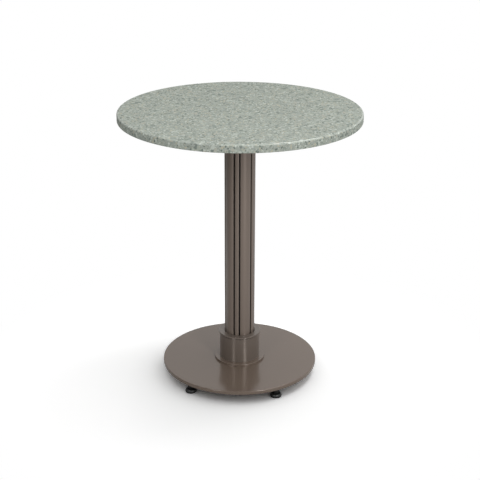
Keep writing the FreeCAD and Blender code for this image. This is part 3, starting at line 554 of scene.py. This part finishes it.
def make_tie_rod():
    """Plain rod with a thread at each end."""
    bottom, top = level("tie_rod", 0), level("tie_rod", 1)
    plain = copied("tie_rod")
    cut_level(plain, bottom + ROD_THREAD, keep_above=True)
    cut_level(plain, top - ROD_THREAD, keep_above=False)
    lower = thread(ROD_RADIUS, ROD_PITCH, bottom, bottom + ROD_THREAD, foot=ROD_CHAMFER)
    upper = thread(ROD_RADIUS, ROD_PITCH, top - ROD_THREAD, top, tip=ROD_CHAMFER)
    piece("threaded_rod", joined(plain, lower, upper), ZINC, replaces=["tie_rod"])


def reed(bm, middle, half_angle, crown):
    """The crowned front of one reed, from groove wall to groove wall, and one groove floor after it."""
    centre = REED_CREST - crown
    half_groove = GROOVE_WIDTH / 2
    across = centre * math.sin(half_angle) - half_groove
    front_reach = centre * math.cos(half_angle) + math.sqrt(crown ** 2 - across ** 2)
    floor_reach = math.sqrt(GROOVE_FLOOR ** 2 - half_groove ** 2)
    turn = Matrix.Rotation(middle, 4, "Z")

    def wall_point(distance, side):
        x = distance * math.cos(half_angle) + half_groove * math.sin(half_angle)
        y = distance * math.sin(half_angle) - half_groove * math.cos(half_angle)
        return turn @ Vector((x, side * y, 0))

    start = bm.verts.new(wall_point(front_reach, -1))
    end = wall_point(front_reach, 1)
    hub = turn @ Vector((centre, 0, 0))
    swing = (start.co - hub).angle(turn @ Vector((1, 0, 0))) * 2
    bmesh.ops.spin(bm, geom=[start], cent=hub, axis=(0, 0, 1), angle=swing, steps=REED_STEPS)
    walls = [wall_point(floor_reach, -1), start.co.copy()], [end, wall_point(floor_reach, 1)]
    for one, other in walls:
        bm.edges.new([bm.verts.new(one), bm.verts.new(other)])
    floor_start = bm.verts.new(wall_point(floor_reach, 1))
    floor_angle = 2 * math.asin(half_groove / GROOVE_FLOOR)
    bmesh.ops.spin(bm, geom=[floor_start], cent=(0, 0, 0), axis=(0, 0, 1), angle=floor_angle,
                   steps=GROOVE_FLOOR_STEPS)


def make_column():
    """Extrusion: its section of reeds, grooves and bore, raised to its length, the groove mouths rounded."""
    bottom, top = level("fluted_column", 0), level("fluted_column", 1)
    bm = bmesh.new()
    wide_half = WIDE_REED_ANGLE / 2
    pair = FULL_TURN / REED_PAIRS
    for number in range(REED_PAIRS):
        reed(bm, REED_PHASE + pair * number, wide_half, WIDE_REED_CROWN)
        reed(bm, REED_PHASE + pair * (number + 0.5), pair / 2 - wide_half, NARROW_REED_CROWN)
    bmesh.ops.remove_doubles(bm, verts=bm.verts, dist=5 * SAME_POINT)
    outside = list(bm.edges)
    bore = bmesh.ops.create_circle(bm, radius=COLUMN_BORE, segments=ROUND_STEPS)["verts"]
    inside = list({edge for vert in bore for edge in vert.link_edges})
    bmesh.ops.bridge_loops(bm, edges=outside + inside)
    bmesh.ops.translate(bm, vec=(0, 0, bottom), verts=bm.verts)
    raised = bmesh.ops.extrude_face_region(bm, geom=list(bm.faces), use_keep_orig=True)["geom"]
    bmesh.ops.translate(bm, vec=(0, 0, top - bottom),
                        verts=[item for item in raised if isinstance(item, bmesh.types.BMVert)])
    bmesh.ops.recalc_face_normals(bm, faces=bm.faces)

    def mouth(edge):
        upright = abs(edge.verts[0].co.z - edge.verts[1].co.z) > MM
        away = edge.verts[0].co.xy.length
        return upright and away > GROOVE_FLOOR + MM and edge.calc_face_angle(0) > math.radians(40)

    bmesh.ops.bevel(bm, geom=[edge for edge in bm.edges if mouth(edge)], offset=GROOVE_MOUTH_ROUND,
                    offset_type="OFFSET", segments=4, profile=0.5, affect="EDGES", material=-1)
    piece("reeded_column", bm, BRONZE_EXTRUSION, replaces=["fluted_column"], crease=50)


def make_collar():
    """Lip ring, wall and foot flange; the wall steps back under the lip, which leaves a shadow line."""
    cap_low, cap_high = level("collar_cap", 0), level("collar_cap", 1)
    seat = level("collar_tube", 1)
    cap_radius, tube_radius, flange_radius = reach("collar_cap"), reach("collar_tube"), reach("collar_flange")
    tube_bore = tube_radius - COLLAR_WALL
    skirt_outside = tube_bore - SKIRT_GAP
    skirt_inside = skirt_outside - COLLAR_WALL
    hole = REED_CREST + CAP_GAP
    cap = turned([(skirt_inside, cap_low), (skirt_outside, cap_low), (skirt_outside, seat),
                  (cap_radius, seat), (cap_radius, cap_high), (hole, cap_high), (hole, seat),
                  (skirt_inside, seat)],
                 [(3, SHEET_EDGE_ROUND, 5), (4, SHEET_EDGE_ROUND, 5), (5, BROKEN_EDGE_ROUND, 3)],
                 steps=FINE_STEPS)
    piece("collar_lip", cap, BRONZE_COLLAR, replaces=["collar_cap"])

    reveal, sunk = seat - LIP_REVEAL, tube_radius - LIP_REVEAL_DEPTH
    wall = turned([(tube_bore, level("collar_tube", 0)), (tube_radius, level("collar_tube", 0)),
                   (tube_radius, reveal), (sunk, reveal), (sunk, seat), (tube_bore, seat)],
                  [(2, BROKEN_EDGE_ROUND, 3)], steps=FINE_STEPS)
    piece("collar_wall", wall, BRONZE_COLLAR, replaces=["collar_tube"])

    low, high = level("collar_flange", 0), level("collar_flange", 1)
    bore, inside = tube_bore - FLANGE_BORE_INSET, flange_radius - FLANGE_RIM
    depth = low + FLANGE_TAPPED_DEPTH
    shell = turned([(inside, low), (flange_radius, low), (flange_radius, high), (bore, high), (bore, low)],
                   [(1, FINE_EDGE_ROUND, 2), (2, SHEET_EDGE_ROUND, 5)], steps=FINE_STEPS, closed=False)
    holes = ring_places(FLANGE_SCREWS, FLANGE_SCREW_REACH, FLANGE_SCREW_PHASE)
    seat_face = flat(low, (inside, (0, 0), FINE_STEPS), (bore, (0, 0), FINE_STEPS),
                     *[(FLANGE_TAPPED_HOLE, place, SMALL_STEPS) for place in holes])
    bores = [turned([(FLANGE_TAPPED_HOLE, low), (FLANGE_TAPPED_HOLE, depth), (0, depth)], centre=place,
                    steps=SMALL_STEPS, closed=False) for place in holes]
    piece("collar_foot", joined(shell, seat_face, *bores), BRONZE_STEEL,
          replaces=["collar_flange"])


def make_plate():
    """Disc with the rod's hole, countersunk holes for the flange's screws and blind holes for the studs."""
    radius, bottom, top = reach("base_plate"), level("base_plate", 0), level("base_plate", 1)
    inside = radius - PLATE_RIM
    flange_holes = ring_places(FLANGE_SCREWS, FLANGE_SCREW_REACH, FLANGE_SCREW_PHASE)
    stud_holes = ring_places(GLIDES, GLIDE_REACH, GLIDE_PHASE)
    sunk = FLANGE_SCREW_HOLE + COUNTERSINK
    rim = turned([(inside, bottom), (radius - PLATE_CHAMFER, bottom), (radius, bottom + PLATE_CHAMFER),
                  (radius, top - PLATE_CHAMFER), (radius - PLATE_CHAMFER, top), (inside, top)],
                 [(corner, PLATE_EDGE_ROUND, 4) for corner in (1, 2, 3, 4)], steps=FINE_STEPS, closed=False)
    under = flat(bottom, (inside, (0, 0), FINE_STEPS), (ROD_HOLE, (0, 0), SMALL_STEPS),
                 *[(sunk, place, SMALL_STEPS) for place in flange_holes],
                 *[(STUD_HOLE, place, SMALL_STEPS) for place in stud_holes])
    over = flat(top, (inside, (0, 0), FINE_STEPS), (ROD_HOLE, (0, 0), SMALL_STEPS),
                *[(FLANGE_SCREW_HOLE, place, SMALL_STEPS) for place in flange_holes])
    walls = [turned([(ROD_HOLE, bottom), (ROD_HOLE, top)], steps=SMALL_STEPS, closed=False)]
    walls += [turned([(sunk, bottom), (FLANGE_SCREW_HOLE, bottom + COUNTERSINK), (FLANGE_SCREW_HOLE, top)],
                     centre=place, steps=SMALL_STEPS, closed=False) for place in flange_holes]
    depth = bottom + STUD_HOLE_DEPTH
    walls += [turned([(STUD_HOLE, bottom), (STUD_HOLE, depth), (0, depth)], centre=place, steps=SMALL_STEPS,
                     closed=False) for place in stud_holes]
    piece("foot_plate", joined(rim, under, over, *walls), BRONZE_STEEL,
          replaces=["base_plate"])


def make_glides():
    """Bush with its weld bead under the plate, stud with hexagon and thread, and moulded foot."""
    for number, centre in enumerate(ring_places(GLIDES, GLIDE_REACH, GLIDE_PHASE), 1):
        bush, stud, foot = f"glide_bush_{number}", f"glide_screw_{number}", f"glide_pad_{number}"
        radius, low, high = reach(bush), level(bush, 0), level(bush, 1)
        sleeve = turned(tube(STUD_HOLE, radius, low, high),
                        [(1, BUSH_CHAMFER, 1), (0, BROKEN_EDGE_ROUND, 1)], centre, SMALL_STEPS)
        piece(f"threaded_bush_{number}", sleeve, BLACK_OXIDE, replaces=[bush])
        bead = turned([(radius, high - WELD_LEG), (radius + WELD_LEG, high), (radius, high)],
                      [(0, FINE_EDGE_ROUND, 2), (1, FINE_EDGE_ROUND, 2)], centre, SMALL_STEPS)
        piece(f"weld_bead_{number}", bead, BLACK_OXIDE)

        # The bush ends on the stud's hexagon, where the thread begins
        body = copied(stud)
        cut_level(body, low, keep_above=False)
        pin = thread(STUD_RADIUS, STUD_PITCH, low, level(stud, 1), centre, tip=STUD_CHAMFER)
        piece(f"levelling_stud_{number}", joined(eased(body, STUD_EASE), pin), BLACK_OXIDE,
              f"glide_{number}_stud", [stud])

        radius, bottom, top = reach(foot), level(foot, 0), level(foot, 1)
        pad = turned([(0, bottom), (radius, bottom), (radius, top), (PAD_MOUTH, top), (PAD_MOUTH, PAD_LEDGE),
                      (PAD_HOLLOW, PAD_LEDGE), (PAD_HOLLOW, PAD_FLOOR), (0, PAD_FLOOR)],
                     [(1, PAD_FOOT_ROUND, 4), (2, PAD_SHOULDER_ROUND, 10), (3, BROKEN_EDGE_ROUND, 2)],
                     centre, SMALL_STEPS)
        piece(f"glide_foot_{number}", pad, POLYAMIDE, f"glide_{number}_foot", [foot])


slab = make_slab()
make_spider()
make_small_parts()
make_tie_rod()
make_column()
make_collar()
make_plate()
make_glides()

# Stage: pale floor, soft lights, camera at the photo's angle

# Strength of the world's light on its bright and dark side
WORLD_LIGHT = 0.85
DARK_SIDE = 0.1

# The floor's paper: how bright the camera sees it left and right of the table, how much light it throws back at
# its far left end and elsewhere, and how far out its white surround begins and is whole
# Painted light: the camera sees the paper painted lighter on the left, where less light falls, than on the right
PAPER_LEFT = 1.56
PAPER_RIGHT = 1.2
PAPER_FAR_LEFT = 0.2
PAPER_BOUNCE = 0.78
WHITE_FROM = 0.2
WHITE_WHOLE = 0.72

CAMERA_PLACE = (0.0005, -2.695, 1.40606)
CAMERA_DOWN = math.radians(21.21)
CAMERA_ROLL = math.radians(0.15)
CAMERA_LENS = 85.27
CAMERA_SENSOR = 36


def make_stage():
    """White sweep: lit paper near the table, plain white further out; its left end stays out of the light."""
    material, tree = new_material("studio_floor")
    point = add(tree, "ShaderNodeTexCoord").outputs["Object"]
    away = add(tree, "ShaderNodeVectorMath", {0: point}, operation="LENGTH")
    sideways = add(tree, "ShaderNodeSeparateXYZ", {0: point})
    path = add(tree, "ShaderNodeLightPath")
    far = add(tree, "ShaderNodeMapRange", {"Value": away.outputs["Value"], "From Min": WHITE_FROM,
                                           "From Max": WHITE_WHOLE}, interpolation_type="SMOOTHSTEP")
    white = add(tree, "ShaderNodeMath", {0: far.outputs[0], 1: path.outputs["Is Camera Ray"]},
                operation="MULTIPLY")
    end = add(tree, "ShaderNodeMapRange", {"Value": sideways.outputs[0], "From Min": -1.3, "From Max": -0.6,
                                           "To Min": PAPER_FAR_LEFT, "To Max": PAPER_BOUNCE})
    # Painted light on the paper for camera rays: lighter on the left, where less light falls, darker on the right
    painted_paper = add(tree, "ShaderNodeMapRange", {"Value": sideways.outputs[0], "From Min": -0.3, "From Max": 0.3,
                                            "To Min": PAPER_LEFT, "To Max": PAPER_RIGHT})
    paper = add(tree, "ShaderNodeMix", {0: path.outputs["Is Camera Ray"], 2: end.outputs[0],
                                        3: painted_paper.outputs[0]})
    diffuse = add(tree, "ShaderNodeBsdfDiffuse", {"Color": paper.outputs[0]})
    glow = add(tree, "ShaderNodeEmission", {"Strength": 1.0, "Color": (1, 1, 1, 1)})
    lit = add(tree, "ShaderNodeMixShader", {0: white.outputs[0], 1: diffuse.outputs[0], 2: glow.outputs[0]})
    side = add(tree, "ShaderNodeNewGeometry")
    through = add(tree, "ShaderNodeBsdfTransparent")
    both = add(tree, "ShaderNodeMixShader", {0: side.outputs["Backfacing"], 1: lit.outputs[0],
                                             2: through.outputs[0]})
    surface(tree, both)
    bm = bmesh.new()
    bmesh.ops.create_circle(bm, cap_ends=True, radius=30, segments=64)
    mesh = bpy.data.meshes.new("studio_floor")
    bm.to_mesh(mesh)
    bm.free()
    mesh.materials.append(material)
    floor = bpy.data.objects.new("studio_floor", mesh)
    bpy.context.scene.collection.objects.link(floor)
    return floor


def make_world():
    """White studio all round, brightest above and behind on the right."""
    world = bpy.data.worlds.new("studio")
    bpy.context.scene.world = world
    world.use_nodes = True
    tree = world.node_tree
    tree.nodes.clear()
    direction = add(tree, "ShaderNodeTexCoord").outputs["Generated"]
    facing = add(tree, "ShaderNodeVectorMath", {0: direction, 1: (0.55, 0.45, 0.7)}, operation="DOT_PRODUCT")
    light = add(tree, "ShaderNodeMapRange", {
        "Value": facing.outputs["Value"], "From Min": -0.7, "From Max": 0.7,
        "To Min": DARK_SIDE, "To Max": WORLD_LIGHT})
    path = add(tree, "ShaderNodeLightPath")
    strength = add(tree, "ShaderNodeMix", {0: path.outputs["Is Camera Ray"], 2: light.outputs[0], 3: 1.0})
    sky = add(tree, "ShaderNodeBackground", {"Color": (1, 1, 1, 1), "Strength": strength.outputs[0]})
    add(tree, "ShaderNodeOutputWorld", {"Surface": sky.outputs[0]})


def softbox(name, place, target, width, height, power):
    """A softbox at a place, turned to a target, with its width and height in metres and its power in watts."""
    light = bpy.data.lights.new(name, "AREA")
    light.shape = "RECTANGLE"
    light.size, light.size_y = width, height
    light.energy = power
    lamp = bpy.data.objects.new(name, light)
    lamp.location = place
    lamp.rotation_euler = (Vector(target) - Vector(place)).to_track_quat("-Z", "Y").to_euler()
    lamp.visible_camera = False
    bpy.context.scene.collection.objects.link(lamp)
    return lamp


def flag(lamp, things, state):
    """Holds a lamp's light off some things (EXCLUDE) or off all but them (INCLUDE), as a studio's flags do."""
    lit = bpy.data.collections.new(f"{lamp.name}_lights")
    for thing in things:
        lit.objects.link(thing)
    for linked in lit.collection_objects:
        linked.light_linking.link_state = state
    lamp.light_linking.receiver_collection = lit


floor = make_stage()
make_world()
softbox("overhead", (0.9, 0.5, 2.8), (0, 0, 0.5), 1.2, 1.2, 24)
# The strips draw the streaks on column and collar; flags keep the shadow under the plate deep and their long
# reflections off the slab. The two smaller lamps light the slab alone and draw the glints on its arris.
flag(softbox("right_strip", (1.0, -1.73, 1.15), (0, 0, 0.4), 0.36, 1.5, 23), [floor, slab], "EXCLUDE")
flag(softbox("left_strip", (-1.1, -1.67, 1.15), (0, 0, 0.4), 0.32, 1.5, 12.5), [floor, slab], "EXCLUDE")
flag(softbox("right_glint", (1.15, -1.6, 1.5), (0, 0, 0.7), 0.55, 0.5, 23.5), [slab], "INCLUDE")
flag(softbox("left_glint", (-1.2, -1.6, 1.5), (0, 0, 0.7), 0.55, 0.5, 19.5), [slab], "INCLUDE")

camera = bpy.data.cameras.new("photo_view")
camera.lens = CAMERA_LENS
camera.sensor_width = CAMERA_SENSOR
viewer = bpy.data.objects.new("photo_view", camera)
viewer.location = CAMERA_PLACE
aim = Matrix.Rotation(math.pi / 2 - CAMERA_DOWN, 3, "X") @ Matrix.Rotation(CAMERA_ROLL, 3, "Z")
viewer.rotation_euler = aim.to_euler()
bpy.context.scene.collection.objects.link(viewer)
bpy.context.scene.camera = viewer
bpy.context.scene.view_settings.view_transform = "Standard"
